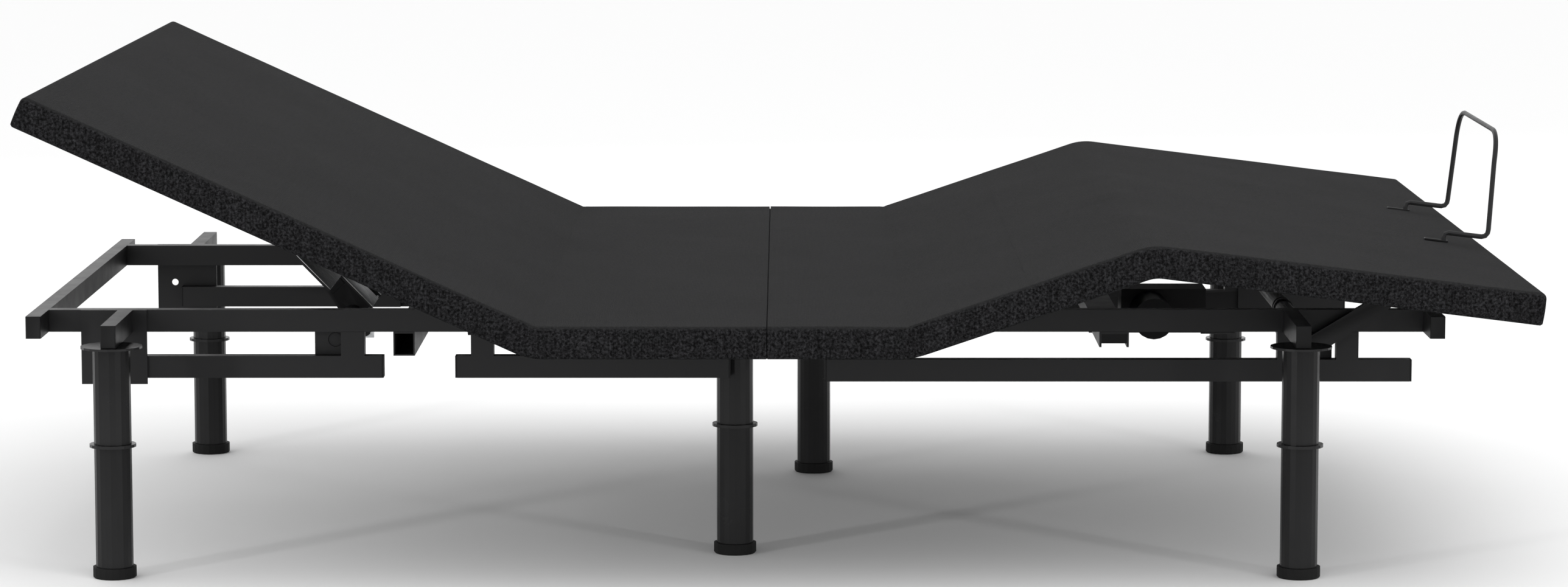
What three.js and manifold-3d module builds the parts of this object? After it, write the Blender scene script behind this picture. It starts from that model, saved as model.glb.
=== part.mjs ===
// Adjustable bed base: a steel frame in two bolted halves on screw-in legs, with upholstered
// deck sections. The back section and the thigh and calf sections are raised by two linear
// actuators. Millimetres, +Z up, head end towards -X. The origin is on the floor, under the
// middle of the object as posed here, with the back and the legs part raised.
import * as THREE from "three";
import { mergeVertices } from "three/addons/utils/BufferGeometryUtils.js";
import Module from "manifold-3d";

const wasm = await Module();
wasm.setup();

// ---- driving dimensions ----
const GAP = 0.3; // clearance between pieces that rest on each other
const STEEL_WALL = 2;

const DECK_TOP = 363;
const DECK_HALF_WIDTH = 762;
const SKIRT_DEPTH = 42;
const SKIRT_THICKNESS = 12;
const FOAM_THICKNESS = 10;
const BOARD_THICKNESS = 12;
const RIM_THICKNESS = 8;
const JOINT_GAP = 0.75; // half the gap between two deck sections

const BACK_HINGE_X = -310;
const SEAT_SPLIT_X = -13;
const THIGH_HINGE_X = 167;
const BACK_LENGTH = 715;
const THIGH_LENGTH = 325;
const CALF_LENGTH = 505;
const KNEE_DEPTH = 22; // the knee hinge is this far below the deck's top
const KNEE_MITRE = 11; // the skirts are cut back by this much at the knee

const REST_BACK = 24.5; // degrees, as posed
const REST_THIGH = 18.7;
const REST_KNEE = 25.8; // bend between thigh and calf, as posed

const TUBE_WIDTH = 20;
const TUBE_HEIGHT = 30;
const RAIL_TOP = 341;
const RAIL_BOTTOM = RAIL_TOP - TUBE_HEIGHT;
const RAIL_OUTER_Y = 405;
const RAIL_INNER_Y = RAIL_OUTER_Y - TUBE_WIDTH;
const CROSS_HALF_WIDTH = 477;
const HEAD_CROSS_X = -1006;
const FOOT_CROSS_X = 874;
const LOWER_TUBE_HEIGHT = 30;
const HEAD_LOWER_TOP = 278;
const FOOT_LOWER_TOP = 273;

const LEG_RADIUS = 25;
const LEG_JOINT_Z = 178;
const GLIDE_RADIUS = 29;
const GLIDE_HEIGHT = 15;
const FLANGE_RADIUS = 41;
const FLANGE_THICKNESS = 3;
const COLLAR_RADIUS = 31;
const HEAD_LEG_X = -882;
const FOOT_LEG_X = 694;
const CORNER_LEG_Y = 548;
const MIDDLE_LEG_NEAR = { x: -58, y: -358 };
const MIDDLE_LEG_FAR = { x: 54, y: 358 };

const HEAD_LIFT = { x: -600, z: 298 }; // pivot axis of the head lift frame
const HEAD_ARM_LENGTH = 256.7;
const HEAD_ARM_REST = 57.9; // degrees above the horizontal, as posed
const HEAD_ARM_Y = 95; // inner face of each arm
const HEAD_CRANK = 36;
const HEAD_CRANK_REST = 11.6; // degrees from straight down towards the foot end, as posed
const TIE_PLATE_SLOPE = 46; // degrees, as posed
const ROLLER_RADIUS = 15;
const ROLLER_WIDTH = 22;

const FOOT_LIFT = { x: 725, z: 295 }; // pivot axis of the foot lift frame
const FOOT_ARM_LENGTH = 131.2;
const FOOT_ARM_REST = 32;
const FOOT_ARM_Y = 409; // inner face of each arm
const FOOT_CRANK = 27;
const FOOT_CRANK_REST = 1.95;
const CALF_PIN = { x: 363.2, z: -39.1 }; // from the knee hinge, along and square to the calf

const PIN_RADIUS = 4.5;
const HEAD_ROD_Z = 269;
const FOOT_ROD_Z = 268;

// ---- materials ----
const paint = (color, roughness, metalness) =>
  new THREE.MeshStandardMaterial({ color, roughness, metalness });
const blackCoat = () => paint(0x1d1e20, 0.5, 0.3);
const blackPlastic = () => paint(0x141414, 0.6, 0);
const fabric = () => paint(0x36373a, 0.95, 0);
const board = () => paint(0x2a2622, 0.9, 0);
const zincPlate = () => paint(0xa9abad, 0.35, 0.9);

// ---- geometry helpers ----
const degrees = THREE.MathUtils.degToRad;

// Moves every vertex of a geometry to the place that the given function works out for it.
function remap(geometry, place) {
  const points = geometry.attributes.position;
  for (let i = 0; i < points.count; i += 1) {
    points.setXYZ(i, ...place(points.getX(i), points.getY(i), points.getZ(i)));
  }
  return geometry;
}

function block(x0, x1, y0, y1, z0, z1) {
  const pick = (side, low, high) => (side < 0 ? low : high);
  const corner = (x, y, z) => [pick(x, x0, x1), pick(y, y0, y1), pick(z, z0, z1)];
  return remap(new THREE.BoxGeometry(), corner);
}

function rectangle(x0, x1, z0, z1) {
  const outline = new THREE.Shape();
  outline.moveTo(x0, z0);
  outline.lineTo(x1, z0);
  outline.lineTo(x1, z1);
  outline.lineTo(x0, z1);
  outline.closePath();
  return outline;
}

// Extrudes an outline drawn in X and Z along Y, from y0 to y1.
function extrudeAlongY(outline, y0, y1, curveSegments = 8) {
  const shape = new THREE.ExtrudeGeometry(outline, { depth: 1, bevelEnabled: false, curveSegments });
  return remap(shape, (x, z, along) => [x, along < 0.5 ? y1 : y0, z]);
}

// Extrudes an outline drawn in Y and Z along X, from x0 to x1.
function extrudeAlongX(outline, x0, x1) {
  const shape = new THREE.ExtrudeGeometry(outline, { depth: 1, bevelEnabled: false });
  return remap(shape, (y, z, along) => [along < 0.5 ? x0 : x1, y, z]);
}

function ringAlongY(x, z, outer, inner, y0, y1, segments = 20) {
  const profile = [
    new THREE.Vector2(inner, 0),
    new THREE.Vector2(outer, 0),
    new THREE.Vector2(outer, y1 - y0),
    new THREE.Vector2(inner, y1 - y0),
    new THREE.Vector2(inner, 0),
  ];
  return new THREE.LatheGeometry(profile, segments).translate(x, y0, z);
}

function rodAlongY(x, z, radius, y0, y1, segments = 20) {
  const rod = new THREE.CylinderGeometry(radius, radius, 2, segments);
  return remap(rod, (across, along, up) => [x + across, along < 0 ? y0 : y1, z + up]);
}

function rodAlongX(y, z, radius, x0, x1, segments = 20) {
  const rod = new THREE.CylinderGeometry(radius, radius, 2, segments);
  return remap(rod, (up, along, across) => [along < 0 ? x0 : x1, y + across, z + up]);
}

// A rectangular tube along X or Y, open at both ends.
function tubeSection(a0, a1, z0, z1) {
  const outline = rectangle(a0, a1, z0, z1);
  outline.holes.push(rectangle(a0 + STEEL_WALL, a1 - STEEL_WALL, z0 + STEEL_WALL, z1 - STEEL_WALL));
  return outline;
}

const tubeAlongY = (x0, x1, z0, z1, y0, y1) => extrudeAlongY(tubeSection(x0, x1, z0, z1), y0, y1);
const tubeAlongX = (y0, y1, z0, z1, x0, x1) => extrudeAlongX(tubeSection(y0, y1, z0, z1), x0, x1);

// ---- booleans ----
function solid(geometry) {
  const positions = geometry.index ? geometry.toNonIndexed() : geometry.clone();
  for (const name of Object.keys(positions.attributes)) {
    if (name !== "position") positions.deleteAttribute(name);
  }
  const merged = mergeVertices(positions, 1e-4);
  const mesh = new wasm.Mesh({
    numProp: 3,
    vertProperties: merged.attributes.position.array,
    triVerts: new Uint32Array(merged.index.array),
  });
  return new wasm.Manifold(mesh);
}

function geometryOf(manifold) {
  const mesh = manifold.getMesh();
  const geometry = new THREE.BufferGeometry();
  geometry.setAttribute("position", new THREE.BufferAttribute(mesh.vertProperties, 3));
  geometry.setIndex(new THREE.BufferAttribute(mesh.triVerts, 1));
  const flat = geometry.toNonIndexed();
  flat.computeVertexNormals();
  return flat;
}

function join(...geometries) {
  return geometryOf(geometries.map(solid).reduce((whole, piece) => whole.add(piece)));
}

function cut(geometry, ...tools) {
  return geometryOf(tools.map(solid).reduce((whole, tool) => whole.subtract(tool), solid(geometry)));
}

// ---- scene graph ----
const bed = new THREE.Group();

function add(name, geometry, material, parent = bed) {
  const mesh = new THREE.Mesh(geometry, material);
  mesh.name = name;
  parent.add(mesh);
  return mesh;
}

const sides = [
  { name: "near", sign: -1 },
  { name: "far", sign: 1 },
];

// The same span of Y on the near or the far side.
const span = (sign, inner, outer) => (sign < 0 ? [-outer, -inner] : [inner, outer]);

// ---- lower frame: rails and cross members ----
function addRails() {
  for (const { name, sign } of sides) {
    const [y0, y1] = span(sign, RAIL_INNER_Y, RAIL_OUTER_Y);
    const headStart = HEAD_CROSS_X + TUBE_WIDTH + GAP;
    const rail = (x0, x1) => tubeAlongX(y0, y1, RAIL_BOTTOM, RAIL_TOP, x0, x1);
    add(`head_rail_${name}`, rail(headStart, SEAT_SPLIT_X - GAP), blackCoat());
    add(`foot_rail_${name}`, rail(SEAT_SPLIT_X + GAP, FOOT_CROSS_X - GAP), blackCoat());
  }
}

function crossTube(x0, halfWidth) {
  return tubeAlongY(x0, x0 + TUBE_WIDTH, RAIL_BOTTOM, RAIL_TOP, -halfWidth, halfWidth);
}

function addCrossMembers() {
  add("head_cross_tube", crossTube(HEAD_CROSS_X, CROSS_HALF_WIDTH), blackCoat());
  add("foot_cross_tube", crossTube(FOOT_CROSS_X, CROSS_HALF_WIDTH), blackCoat());

  const inside = RAIL_INNER_Y - GAP;
  const lugX = MIDDLE_LEG_NEAR.x;
  const motorLug = block(lugX - 9, lugX + 9, -4, 4, HEAD_ROD_Z - 12, RAIL_BOTTOM + 1);
  const headMiddle = join(crossTube(lugX - TUBE_WIDTH / 2, inside), motorLug);
  add("head_middle_cross_tube", headMiddle, blackCoat());
  add("foot_middle_cross_tube", crossTube(MIDDLE_LEG_FAR.x - TUBE_WIDTH / 2, inside), blackCoat());

  const lowX = [-520, -491];
  const lowZ = [HEAD_LOWER_TOP + GAP, RAIL_BOTTOM - GAP];
  const lowCross = tubeAlongY(...lowX, ...lowZ, -RAIL_OUTER_Y, RAIL_OUTER_Y);
  add("head_low_cross_tube", lowCross, blackCoat());

  add("foot_channel", footChannel(), blackCoat());
}

// A channel under the rails, open below, with the lug that holds the foot actuator.
function footChannel() {
  const x0 = 436;
  const x1 = 476;
  const bottom = 290;
  const top = RAIL_BOTTOM - GAP;
  const outline = new THREE.Shape();
  outline.moveTo(x0, bottom);
  outline.lineTo(x0 + 3, bottom);
  outline.lineTo(x0 + 3, top - 3);
  outline.lineTo(x1 - 3, top - 3);
  outline.lineTo(x1 - 3, bottom);
  outline.lineTo(x1, bottom);
  outline.lineTo(x1, top);
  outline.lineTo(x0, top);
  outline.closePath();
  const channel = extrudeAlongY(outline, -RAIL_OUTER_Y, RAIL_OUTER_Y);
  const lug = block(447, 465, -4, 4, FOOT_ROD_Z - 10, top - 1);
  const ends = sides.map(({ sign }) => {
    const [y0, y1] = span(sign, RAIL_OUTER_Y - 4, RAIL_OUTER_Y - 1);
    return block(x0 + 1, x1 - 1, y0, y1, bottom + 5, top - 1);
  });
  return join(channel, lug, ...ends);
}

// A short length of tube under a rail, carried by posts; some posts carry a bearing plate.
function lowerTube(sign, x0, x1, top, posts, bearing) {
  const [y0, y1] = span(sign, RAIL_INNER_Y, RAIL_OUTER_Y);
  const pieces = [tubeAlongX(y0, y1, top - LOWER_TUBE_HEIGHT, top, x0, x1)];
  for (const [postStart, postEnd] of posts) {
    pieces.push(block(postStart, postEnd, y0, y1, top - 1, RAIL_BOTTOM - GAP));
  }
  if (!bearing) return join(...pieces);
  const [inner, outer] = span(sign, RAIL_INNER_Y - 6, RAIL_INNER_Y - GAP);
  const [seamInner, seamOuter] = span(sign, RAIL_INNER_Y - 3, RAIL_INNER_Y + 3);
  const bottom = top - LOWER_TUBE_HEIGHT;
  pieces.push(block(bearing.x - 28, bearing.x + 28, inner, outer, bottom, RAIL_BOTTOM + 10));
  pieces.push(block(bearing.x - 26, bearing.x + 26, seamInner, seamOuter, bottom + 2, top - 2));
  return cut(join(...pieces), rodAlongY(bearing.x, bearing.z, bearing.radius, inner - 5, outer + 5));
}

function addLowerTubes() {
  const headBearing = { ...HEAD_LIFT, radius: 10 };
  const footBearing = { ...FOOT_LIFT, radius: 12.5 };
  const headFront = lowerTube(-1, -875, -536, HEAD_LOWER_TOP, [[-591, -559]], headBearing);
  const headRear = lowerTube(-1, -434, -66, HEAD_LOWER_TOP, [[-415, -384]], null);
  const headFar = lowerTube(1, -902, -111, HEAD_LOWER_TOP, [[-591, -559], [-415, -384]], headBearing);
  add("head_lower_tube_near_front", headFront, blackCoat());
  add("head_lower_tube_near_rear", headRear, blackCoat());
  add("head_lower_tube_far", headFar, blackCoat());
  const footPosts = [[677, 707], [757, 787]];
  add("foot_lower_tube_near", lowerTube(-1, 67, 857, FOOT_LOWER_TOP, footPosts, footBearing), blackCoat());
  add("foot_lower_tube_far", lowerTube(1, 67, 857, FOOT_LOWER_TOP, footPosts, footBearing), blackCoat());
}

// A stub of tube that runs out from the rail over a leg. The head ones carry a corner plate.
function addLegArms() {
  for (const { name, sign } of sides) {
    const plateThickness = 3;
    const outerEnd = CORNER_LEG_Y + 29;
    const [p0, p1] = span(sign, RAIL_OUTER_Y + GAP, RAIL_OUTER_Y + GAP + plateThickness);
    const [y0, y1] = span(sign, RAIL_OUTER_Y + GAP + plateThickness - 1, outerEnd);
    const plateOutline = rectangle(-942, -853, HEAD_LOWER_TOP - 38, RAIL_TOP);
    const holeShape = new THREE.Path();
    holeShape.absarc(-916, 283, 5, 0, Math.PI * 2);
    plateOutline.holes.push(holeShape);
    const plate = extrudeAlongY(plateOutline, p0, p1, 8);
    const arm = tubeAlongY(HEAD_LEG_X - 10, HEAD_LEG_X + 10, RAIL_BOTTOM, RAIL_TOP, y0, y1);
    add(`leg_arm_head_${name}`, join(plate, arm), blackCoat());

    const [f0, f1] = span(sign, RAIL_OUTER_Y + GAP, outerEnd);
    const footArm = tubeAlongY(FOOT_LEG_X - 10, FOOT_LEG_X + 10, RAIL_BOTTOM, RAIL_TOP, f0, f1);
    add(`leg_arm_foot_${name}`, footArm, blackCoat());
  }
}

// ---- legs ----
const lathe = (points, segments = 20) =>
  new THREE.LatheGeometry(points.map(([r, z]) => new THREE.Vector2(r, z)), segments).rotateX(Math.PI / 2);

function addLeg(name, x, y) {
  const bore = LEG_RADIUS - STEEL_WALL;
  const flangeTop = RAIL_BOTTOM - GAP;
  const flangeBottom = flangeTop - FLANGE_THICKNESS;
  const upper = lathe([
    [0, flangeBottom],
    [bore, flangeBottom],
    [bore, LEG_JOINT_Z + 2 + GAP],
    [LEG_RADIUS, LEG_JOINT_Z + 2 + GAP],
    [LEG_RADIUS, flangeBottom],
    [FLANGE_RADIUS, flangeBottom],
    [FLANGE_RADIUS, flangeTop],
    [0, flangeTop],
  ]);
  const collarTop = LEG_JOINT_Z + 2;
  const collarBottom = LEG_JOINT_Z - 2;
  const lower = lathe([
    [0, collarBottom],
    [bore, collarBottom],
    [bore, GLIDE_HEIGHT + GAP],
    [LEG_RADIUS, GLIDE_HEIGHT + GAP],
    [LEG_RADIUS, collarBottom],
    [COLLAR_RADIUS, collarBottom],
    [COLLAR_RADIUS, collarTop],
    [8, collarTop],
    [8, collarTop + 22],
    [0, collarTop + 22],
  ]);
  const glide = lathe([
    [0, 0],
    [GLIDE_RADIUS - 2, 0],
    [GLIDE_RADIUS, 2],
    [GLIDE_RADIUS, GLIDE_HEIGHT],
    [bore - 2, GLIDE_HEIGHT],
    [bore - 2, GLIDE_HEIGHT + 12],
    [0, GLIDE_HEIGHT + 12],
  ]);
  const leg = new THREE.Group();
  leg.position.set(x, y, 0);
  bed.add(leg);
  add(`leg_upper_${name}`, upper, blackCoat(), leg);
  add(`leg_lower_${name}`, lower, blackCoat(), leg);
  add(`glide_${name}`, glide, blackPlastic(), leg);
}

function addLegs() {
  for (const { name, sign } of sides) {
    addLeg(`head_${name}`, HEAD_LEG_X, sign * CORNER_LEG_Y);
    addLeg(`foot_${name}`, FOOT_LEG_X, sign * CORNER_LEG_Y);
  }
  addLeg("middle_near", MIDDLE_LEG_NEAR.x, MIDDLE_LEG_NEAR.y);
  addLeg("middle_far", MIDDLE_LEG_FAR.x, MIDDLE_LEG_FAR.y);
}

// ---- deck sections ----
// What the mitre at the knee takes off the lower part of a section, at its start or its end.
function kneeWedge(edge, towardsMiddle) {
  const top = -KNEE_DEPTH + 1;
  const slope = (towardsMiddle * KNEE_MITRE) / (SKIRT_DEPTH + top);
  const past = 5;
  const outline = new THREE.Shape();
  outline.moveTo(edge - towardsMiddle * past, -SKIRT_DEPTH - past);
  outline.lineTo(edge + slope * (SKIRT_DEPTH + past + top), -SKIRT_DEPTH - past);
  outline.lineTo(edge - slope, top + 1);
  outline.lineTo(edge - towardsMiddle * past, top + 1);
  outline.closePath();
  return extrudeAlongY(outline, -DECK_HALF_WIDTH - past, DECK_HALF_WIDTH + past);
}

// A padded cover: foam over the board, with a skirt down each side and, at an outer end, down
// that end too. It runs from x0 to x1, with its top at z = 0.
function cover(x0, x1, { endSkirt = null, mitreAt = null } = {}) {
  const past = 5;
  const inner = DECK_HALF_WIDTH - SKIRT_THICKNESS;
  const hollowStart = endSkirt === "start" ? x0 + SKIRT_THICKNESS : x0 - past;
  const hollowEnd = endSkirt === "end" ? x1 - SKIRT_THICKNESS : x1 + past;
  const tools = [block(hollowStart, hollowEnd, -inner, inner, -SKIRT_DEPTH - past, -FOAM_THICKNESS)];
  if (mitreAt === "start") tools.push(kneeWedge(x0, 1));
  if (mitreAt === "end") tools.push(kneeWedge(x1, -1));
  return cut(block(x0, x1, -DECK_HALF_WIDTH, DECK_HALF_WIDTH, -SKIRT_DEPTH, 0), ...tools);
}

// A board with a shallow rim under its long edges and its outer end. At the knee the rim stops
// short of the board's edge by kneeSetback.
function boardWithRim(x0, x1, { endRim = null, kneeAt = null } = {}) {
  const past = 5;
  const kneeSetback = 14;
  const endThickness = 5;
  const half = DECK_HALF_WIDTH - SKIRT_THICKNESS - GAP;
  const top = -FOAM_THICKNESS - GAP;
  const bottom = -FOAM_THICKNESS - BOARD_THICKNESS + GAP;
  const rimBottom = -SKIRT_DEPTH + 2;
  const low = rimBottom - past;
  const hollowStart = endRim === "start" ? x0 + endThickness : x0 - past;
  const hollowEnd = endRim === "end" ? x1 - endThickness : x1 + past;
  const hollowHalf = half - RIM_THICKNESS;
  const tools = [block(hollowStart, hollowEnd, -hollowHalf, hollowHalf, low, bottom)];
  const clear = half + past;
  if (kneeAt === "start") tools.push(block(x0 - past, x0 + kneeSetback, -clear, clear, low, bottom));
  if (kneeAt === "end") tools.push(block(x1 - kneeSetback, x1 + past, -clear, clear, low, bottom));
  return cut(block(x0, x1, -half, half, rimBottom, top), ...tools);
}

function addSeat() {
  const seat = new THREE.Group();
  seat.position.set(0, 0, DECK_TOP);
  bed.add(seat);
  const parts = [
    { name: "seat_head", x0: BACK_HINGE_X, x1: SEAT_SPLIT_X },
    { name: "seat_foot", x0: SEAT_SPLIT_X, x1: THIGH_HINGE_X },
  ];
  for (const { name, x0, x1 } of parts) {
    add(`${name}_cover`, cover(x0 + JOINT_GAP, x1 - JOINT_GAP), fabric(), seat);
    add(`${name}_board`, boardWithRim(x0 + JOINT_GAP, x1 - JOINT_GAP), board(), seat);
  }
}

function addBack() {
  const back = new THREE.Group();
  back.position.set(BACK_HINGE_X, 0, DECK_TOP);
  back.rotation.y = degrees(REST_BACK);
  bed.add(back);
  const headEnd = -BACK_LENGTH;
  add("back_cover", cover(headEnd, -JOINT_GAP, { endSkirt: "start" }), fabric(), back);
  const boardStart = headEnd + SKIRT_THICKNESS + GAP;
  add("back_board", boardWithRim(boardStart, -JOINT_GAP, { endRim: "start" }), board(), back);
}

function addThighAndCalf() {
  const thigh = new THREE.Group();
  thigh.position.set(THIGH_HINGE_X, 0, DECK_TOP);
  thigh.rotation.y = -degrees(REST_THIGH);
  bed.add(thigh);
  add("thigh_cover", cover(JOINT_GAP, THIGH_LENGTH - JOINT_GAP, { mitreAt: "end" }), fabric(), thigh);
  add("thigh_board", boardWithRim(JOINT_GAP, THIGH_LENGTH - JOINT_GAP, { kneeAt: "end" }), board(), thigh);

  const calf = new THREE.Group();
  calf.position.set(THIGH_LENGTH, 0, -KNEE_DEPTH);
  calf.rotation.y = degrees(REST_KNEE);
  thigh.add(calf);
  const lift = KNEE_DEPTH;
  const calfCover = cover(JOINT_GAP, CALF_LENGTH, { endSkirt: "end", mitreAt: "start" });
  add("calf_cover", calfCover.translate(0, 0, lift), fabric(), calf);
  const boardEnd = CALF_LENGTH - SKIRT_THICKNESS - GAP;
  const calfBoard = boardWithRim(JOINT_GAP, boardEnd, { kneeAt: "start", endRim: "end" });
  add("calf_board", calfBoard.translate(0, 0, lift), board(), calf);
  add("mattress_retainer", mattressRetainer(lift), blackCoat(), calf);
  for (const { name, sign } of sides) {
    add(`calf_lug_${name}`, calfLug(sign), blackCoat(), calf);
  }
}

// The lug under the calf board that the foot lift arm is pinned to. Its hole is larger than
// the pin, because the arm and the calf turn about different axes. Its footward side is
// straight, so that it clears the foot cross tube when the deck is flat.
function calfLug(sign) {
  const boardUnderside = -GAP;
  const holeRadius = PIN_RADIUS + 6;
  const rim = 6;
  const spread = 32;
  const headSide = CALF_PIN.x - spread;
  const footSide = CALF_PIN.x + holeRadius + rim;
  const outline = new THREE.Shape();
  outline.moveTo(headSide, boardUnderside);
  outline.lineTo(CALF_PIN.x - holeRadius - rim, CALF_PIN.z);
  outline.absarc(CALF_PIN.x, CALF_PIN.z, holeRadius + rim, Math.PI, 2 * Math.PI);
  outline.lineTo(footSide, boardUnderside);
  outline.closePath();
  const hole = new THREE.Path();
  hole.absarc(CALF_PIN.x, CALF_PIN.z, holeRadius, 0, 2 * Math.PI);
  outline.holes.push(hole);
  const [y0, y1] = span(sign, FOOT_ARM_Y + 14, FOOT_ARM_Y + 18);
  const plate = extrudeAlongY(outline, y0, y1, 10);
  const [f0, f1] = span(sign, FOOT_ARM_Y + 17, FOOT_ARM_Y + 40);
  return join(plate, block(headSide, footSide, f0, f1, boardUnderside - 3, boardUnderside));
}

// A bent rod that keeps the mattress from sliding. Each toe stands in the deck, each foot runs
// above it to a heel past the foot end, and the uprights lean in towards the bar at the top.
function mattressRetainer(deckTop) {
  const radius = 3.5;
  const toe = 445;
  const heel = 505;
  const footZ = deckTop + 12.5;
  const toeZ = deckTop + GAP;
  const topZ = deckTop + 158;
  const heelRadius = 10;
  const toeRadius = 6;
  const shoulderDrop = 40; // from the bar down to where the uprights start to bend
  const footY = 209;
  const shoulderY = 193;
  const barEndY = 135;
  const topX = heel - 3;
  const point = (x, y, z) => new THREE.Vector3(x, y, z);

  // One side, from the bar's end down to the toe, as corner points and the points around them.
  const side = (s) => [
    point(topX, s * barEndY, topZ),
    point(topX, s * (shoulderY - 2), topZ),
    point(topX, s * shoulderY, topZ - shoulderDrop),
    point(heel, s * footY, footZ + heelRadius),
    point(heel, s * footY, footZ),
    point(heel - heelRadius, s * footY, footZ),
    point(toe + toeRadius, s * footY, footZ),
    point(toe, s * footY, footZ),
    point(toe, s * footY, footZ - toeRadius),
    point(toe, s * footY, toeZ),
  ];
  const path = new THREE.CurvePath();
  const follow = (corners) => {
    const [barEnd, topCorner, shoulder, heelTop, heelCorner, heelFoot, ...toePart] = corners;
    const [toeFoot, toeCorner, toeTop, tip] = toePart;
    return [
      new THREE.QuadraticBezierCurve3(barEnd, topCorner, shoulder),
      new THREE.LineCurve3(shoulder, heelTop),
      new THREE.QuadraticBezierCurve3(heelTop, heelCorner, heelFoot),
      new THREE.LineCurve3(heelFoot, toeFoot),
      new THREE.QuadraticBezierCurve3(toeFoot, toeCorner, toeTop),
      new THREE.LineCurve3(toeTop, tip),
    ];
  };
  const reversed = (curve) =>
    curve.isLineCurve3
      ? new THREE.LineCurve3(curve.v2, curve.v1)
      : new THREE.QuadraticBezierCurve3(curve.v2, curve.v1, curve.v0);
  const near = follow(side(-1)).reverse().map(reversed);
  const far = follow(side(1));
  const bar = new THREE.LineCurve3(point(topX, -barEndY, topZ), point(topX, barEndY, topZ));
  [...near, bar, ...far].forEach((curve) => path.add(curve));
  const section = new THREE.Shape();
  section.absarc(0, 0, radius, 0, 2 * Math.PI);
  return new THREE.ExtrudeGeometry(section, { extrudePath: path, steps: 150, curveSegments: 4 });
}

// ---- head lift ----
// The frame turns in the bearing plates. A wide plate ties its arms, and a crank in the middle,
// open between its cheeks, is pushed by the head actuator.
function headLiftFrame() {
  const tubeRadius = 15;
  const tubeEnd = RAIL_INNER_Y - 7;
  const journalEnd = RAIL_INNER_Y - 1;
  const armWidth = 20;
  const cheekInner = 8;
  const cheekOuter = 13;
  const plateThickness = 3;
  const plateOffset = 28; // from the pivot axis to the tie plate's outer face
  const plateStart = 51;
  const plateEnd = 150;
  const neck = [22, 119];
  const tilt = degrees(HEAD_ARM_REST - TIE_PLATE_SLOPE);
  const crankTurn = degrees(-HEAD_ARM_REST - HEAD_CRANK_REST);
  const pieces = [];
  for (const { sign } of sides) {
    const [t0, t1] = span(sign, cheekInner, tubeEnd);
    pieces.push(rodAlongY(0, 0, tubeRadius, t0, t1));
    const [j0, j1] = span(sign, tubeEnd - 1, journalEnd);
    pieces.push(rodAlongY(0, 0, 9.5, j0, j1));
    const [a0, a1] = span(sign, HEAD_ARM_Y, HEAD_ARM_Y + armWidth);
    pieces.push(block(-HEAD_ARM_LENGTH - 4, 0, a0, a1, -13, 13));
    const [s0, s1] = span(sign, HEAD_ARM_Y + armWidth - 1, HEAD_ARM_Y + armWidth + ROLLER_WIDTH + 6);
    pieces.push(rodAlongY(-HEAD_ARM_LENGTH, 0, 5, s0, s1));
    const [n0, n1] = span(sign, neck[0], neck[1]);
    const strip = block(-plateStart - 1, 12, n0, n1, plateOffset - plateThickness, plateOffset);
    pieces.push(strip.rotateY(-tilt));
    for (const y of [neck[0], neck[1] - 6]) {
      const [r0, r1] = span(sign, y, y + 6);
      pieces.push(block(-40, 8, r0, r1, 0, plateOffset - 1).rotateY(-tilt));
    }
    const [c0, c1] = span(sign, cheekInner, cheekOuter);
    const cheek = new THREE.Shape();
    cheek.absarc(0, 0, tubeRadius + 1, 0, Math.PI);
    cheek.lineTo(-11, -HEAD_CRANK);
    cheek.absarc(0, -HEAD_CRANK, 9, Math.PI, 2 * Math.PI);
    cheek.closePath();
    pieces.push(extrudeAlongY(cheek, c0, c1, 8).rotateY(crankTurn));
  }
  const tieHalf = 291; // the tie plate reaches out past the arms on both sides
  const tie = block(-plateEnd, -plateStart, -tieHalf, tieHalf, plateOffset - plateThickness, plateOffset);
  pieces.push(tie.rotateY(-tilt));
  pieces.push(rodAlongY(0, -HEAD_CRANK, PIN_RADIUS, -cheekOuter, cheekOuter, 16).rotateY(crankTurn));
  return join(...pieces);
}

function addHeadLift() {
  const lift = new THREE.Group();
  lift.position.set(HEAD_LIFT.x, 0, HEAD_LIFT.z);
  lift.rotation.y = degrees(HEAD_ARM_REST);
  bed.add(lift);
  add("head_lift_frame", headLiftFrame(), blackCoat(), lift);
  for (const { name, sign } of sides) {
    const [y0, y1] = span(sign, HEAD_ARM_Y + 21, HEAD_ARM_Y + 21 + ROLLER_WIDTH);
    const roller = ringAlongY(-HEAD_ARM_LENGTH, 0, ROLLER_RADIUS, 5.3, y0, y1, 24);
    add(`head_roller_${name}`, roller, blackPlastic(), lift);
  }
}

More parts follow.
